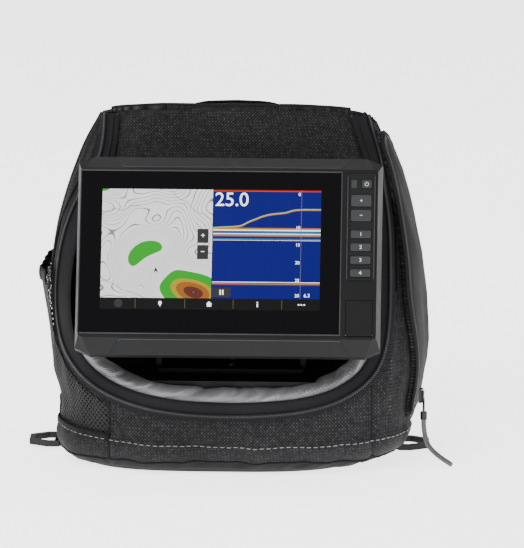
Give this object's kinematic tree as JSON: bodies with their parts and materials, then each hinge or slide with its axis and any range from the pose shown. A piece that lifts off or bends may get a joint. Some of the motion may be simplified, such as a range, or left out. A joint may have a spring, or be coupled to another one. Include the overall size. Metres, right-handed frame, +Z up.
{
  "type": "portable fish finder",
  "caption": "Portable sonar display with a keypad, tilting on a bail mount over a battery tray, in a soft zipped carry bag.",
  "frame": {"origin": "centre of the bag's flat base, where it stands", "axes": "+Z up, -Y out of the display towards the user, +X to the user's right"},
  "size_m": [0.3926, 0.2517, 0.318],
  "materials": {
    "bezel_plastic": "fine-grained matte charcoal",
    "cover_glass": "glossy black-edged cover glass",
    "lcd": "display panel, satin",
    "sensor_lens": "smoked lens",
    "circuit_board": "solder-masked board",
    "key_rubber": "soft matte",
    "seal_rubber": "matte",
    "housing_plastic": "textured black",
    "screw_steel": "stainless",
    "tray_plastic": "moulded black",
    "battery_case": "moulded grey-black",
    "terminal_brass": "tinned",
    "bag_cloth": "woven polyester with foam backing",
    "lining_cloth": "thin smooth lining",
    "pad_foam": "soft closed-cell foam",
    "mesh_cloth": "open black mesh",
    "webbing": "flat woven webbing",
    "zip_tape": "coil zip on woven tape",
    "zip_metal": "black enamelled",
    "ring_plastic": "satin black nylon",
    "pull_cord": "braided light grey cord"
  },
  "bodies": {
    "bag": {"bag_base": "bag_cloth", "bag_front_panel": "bag_cloth", "bag_left_side": "bag_cloth", "bag_right_side": "bag_cloth", "bag_back_panel": "bag_cloth", "bag_top_panel": "bag_cloth", "bag_lining": "lining_cloth", "base_pad": "pad_foam", "base_tray": "tray_plastic", "tray_lid": "tray_plastic", "tray_screws": "screw_steel", "battery": "battery_case", "battery_terminals": "terminal_brass", "battery_strap": "webbing", "bail_bracket": "housing_plastic", "mesh_pocket": "mesh_cloth", "side_pocket": "bag_cloth", "side_zip_chain": "zip_tape", "front_zip_chain": "zip_tape", "d_ring_tabs": "webbing", "carry_handle": "webbing"},
    "cradle_unit": {"cradle": "housing_plastic", "power_socket": "housing_plastic", "sonar_socket": "housing_plastic"},
    "latch": {"cradle_latch": "housing_plastic"},
    "display_head": {"front_bezel": "bezel_plastic", "top_trim_cap": "bezel_plastic", "bottom_trim_cap": "bezel_plastic", "touch_glass": "cover_glass", "lcd_panel": "lcd", "backlight_frame": "lcd", "main_board": "circuit_board", "rear_housing": "housing_plastic", "housing_screws": "screw_steel", "housing_gasket": "seal_rubber", "key_surround": "bezel_plastic", "light_sensor_window": "sensor_lens", "key_membrane": "key_rubber", "key_board": "circuit_board", "card_door_pin": "screw_steel", "card_socket": "circuit_board", "dock_plug": "housing_plastic"},
    "card_door": {"card_door": "bezel_plastic"},
    "knob_left": {"tilt_knob_left": "housing_plastic"},
    "knob_right": {"tilt_knob_right": "housing_plastic"},
    "door": {"door_flap": "bag_cloth", "door_zip_tape": "zip_tape"},
    "ring_left": {"d_ring_left": "ring_plastic"},
    "ring_right": {"d_ring_right": "ring_plastic"},
    "front_slider_left": {"front_zip_slider_left": "zip_metal"},
    "front_slider_right": {"front_zip_slider_right": "zip_metal"},
    "side_slider": {"side_zip_slider": "zip_metal", "side_zip_pull": "pull_cord"},
    "power_key": {"power_key": "key_rubber"},
    "zoom_in_key": {"zoom_in_key": "key_rubber"},
    "zoom_out_key": {"zoom_out_key": "key_rubber"},
    "preset_key_1": {"preset_key_1": "key_rubber"},
    "preset_key_2": {"preset_key_2": "key_rubber"},
    "preset_key_3": {"preset_key_3": "key_rubber"},
    "preset_key_4": {"preset_key_4": "key_rubber"}
  },
  "joints": [
    {"name": "display_tilt", "type": "hinge", "parent": "bag", "child": "cradle_unit", "pos_m": [0, -0.03546, 0.14631], "axis": [1, 0, 0], "range_deg": [-4, 15]},
    {"name": "latch_press", "type": "hinge", "parent": "cradle_unit", "child": "latch", "pos_m": [0, -0.02525, 0.19918], "axis": [-1, 0, 0], "range_deg": [0, 18], "stiffness_Nm_per_rad": 0.16, "springref_deg": -5.73},
    {"name": "head_release", "type": "slide", "parent": "cradle_unit", "child": "display_head", "axis": [0, -0.8988, 0.4384], "range_m": [0, 0.045]},
    {"name": "card_door_hinge", "type": "hinge", "parent": "display_head", "child": "card_door", "pos_m": [0.1193, -0.13095, 0.13781], "axis": [1, 0, 0], "range_deg": [0, 95]},
    {"name": "knob_turn_left", "type": "hinge", "parent": "bag", "child": "knob_left", "pos_m": [0, -0.03546, 0.14631], "axis": [1, 0, 0], "continuous": true},
    {"name": "knob_turn_right", "type": "hinge", "parent": "bag", "child": "knob_right", "pos_m": [0, -0.03546, 0.14631], "axis": [1, 0, 0], "continuous": true},
    {"name": "door_lift", "type": "hinge", "parent": "bag", "child": "door", "pos_m": [0, 0.015, 0.318], "axis": [-1, 0, 0], "range_deg": [0, 215]},
    {"name": "ring_swing_left", "type": "hinge", "parent": "bag", "child": "ring_left", "pos_m": [-0.163, 0, 0.0049], "axis": [0, 1, 0], "range_deg": [0, 80]},
    {"name": "ring_swing_right", "type": "hinge", "parent": "bag", "child": "ring_right", "pos_m": [0.155, 0, 0.0049], "axis": [0, -1, 0], "range_deg": [0, 65]},
    {"name": "front_slide_left", "type": "slide", "parent": "bag", "child": "front_slider_left", "axis": [-0.4389, -0.3883, -0.8103], "range_m": [0, 0.0296]},
    {"name": "front_slide_right", "type": "slide", "parent": "bag", "child": "front_slider_right", "axis": [0.0963, -0.6304, -0.7703], "range_m": [0, 0.0311]},
    {"name": "side_slide", "type": "slide", "parent": "bag", "child": "side_slider", "axis": [0.0279, 0, 0.9996], "range_m": [0, 0.044]},
    {"name": "power_key_press", "type": "slide", "parent": "display_head", "child": "power_key", "axis": [0, 0.8988, -0.4384], "range_m": [0, 0.0007], "stiffness_N_per_m": 900, "springref_m": -0.0004},
    {"name": "zoom_in_key_press", "type": "slide", "parent": "display_head", "child": "zoom_in_key", "axis": [0, 0.8988, -0.4384], "range_m": [0, 0.0007], "stiffness_N_per_m": 900, "springref_m": -0.0004},
    {"name": "zoom_out_key_press", "type": "slide", "parent": "display_head", "child": "zoom_out_key", "axis": [0, 0.8988, -0.4384], "range_m": [0, 0.0007], "stiffness_N_per_m": 900, "springref_m": -0.0004},
    {"name": "preset_key_1_press", "type": "slide", "parent": "display_head", "child": "preset_key_1", "axis": [0, 0.8988, -0.4384], "range_m": [0, 0.0007], "stiffness_N_per_m": 900, "springref_m": -0.0004},
    {"name": "preset_key_2_press", "type": "slide", "parent": "display_head", "child": "preset_key_2", "axis": [0, 0.8988, -0.4384], "range_m": [0, 0.0007], "stiffness_N_per_m": 900, "springref_m": -0.0004},
    {"name": "preset_key_3_press", "type": "slide", "parent": "display_head", "child": "preset_key_3", "axis": [0, 0.8988, -0.4384], "range_m": [0, 0.0007], "stiffness_N_per_m": 900, "springref_m": -0.0004},
    {"name": "preset_key_4_press", "type": "slide", "parent": "display_head", "child": "preset_key_4", "axis": [0, 0.8988, -0.4384], "range_m": [0, 0.0007], "stiffness_N_per_m": 900, "springref_m": -0.0004}
  ]
}
